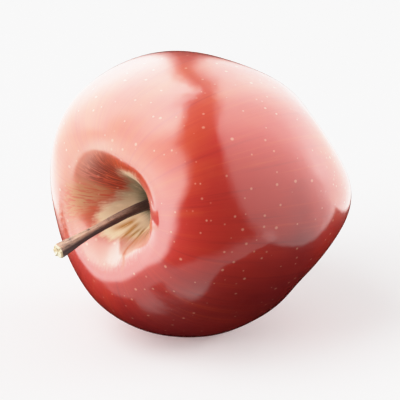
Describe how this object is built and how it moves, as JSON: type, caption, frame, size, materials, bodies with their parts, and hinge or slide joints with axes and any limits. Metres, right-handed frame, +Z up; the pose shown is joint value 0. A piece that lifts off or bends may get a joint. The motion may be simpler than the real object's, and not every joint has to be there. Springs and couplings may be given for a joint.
{
  "type": "apple",
  "caption": "Whole red apple lying on its side on a small flat spot, with a woody stem in its cavity and a dried calyx; food prop and light obstacle.",
  "frame": {"origin": "centre of the foot of the object's box, on the surface that the apple rests on", "axes": "+Z up; the stem end looks towards -X and -Y and is lifted about 9 degrees; the calyx end looks towards +X and +Y"},
  "size_m": [0.0774, 0.0736, 0.0743],
  "materials": {
    "skin": "glossy waxed fruit skin, red over orange-red, with small pale lenticels",
    "bark": "dry dark brown twig bark, pale at the broken tip",
    "dried_leaf": "matt, dried, downy grey-green brown",
    "stamens": "matt, withered, dark brown"
  },
  "bodies": {
    "root": {"fruit": "skin", "stem": "bark", "sepal_1": "dried_leaf", "sepal_2": "dried_leaf", "sepal_3": "dried_leaf", "sepal_4": "dried_leaf", "sepal_5": "dried_leaf", "stamen_tuft": "stamens"}
  },
  "joints": []
}
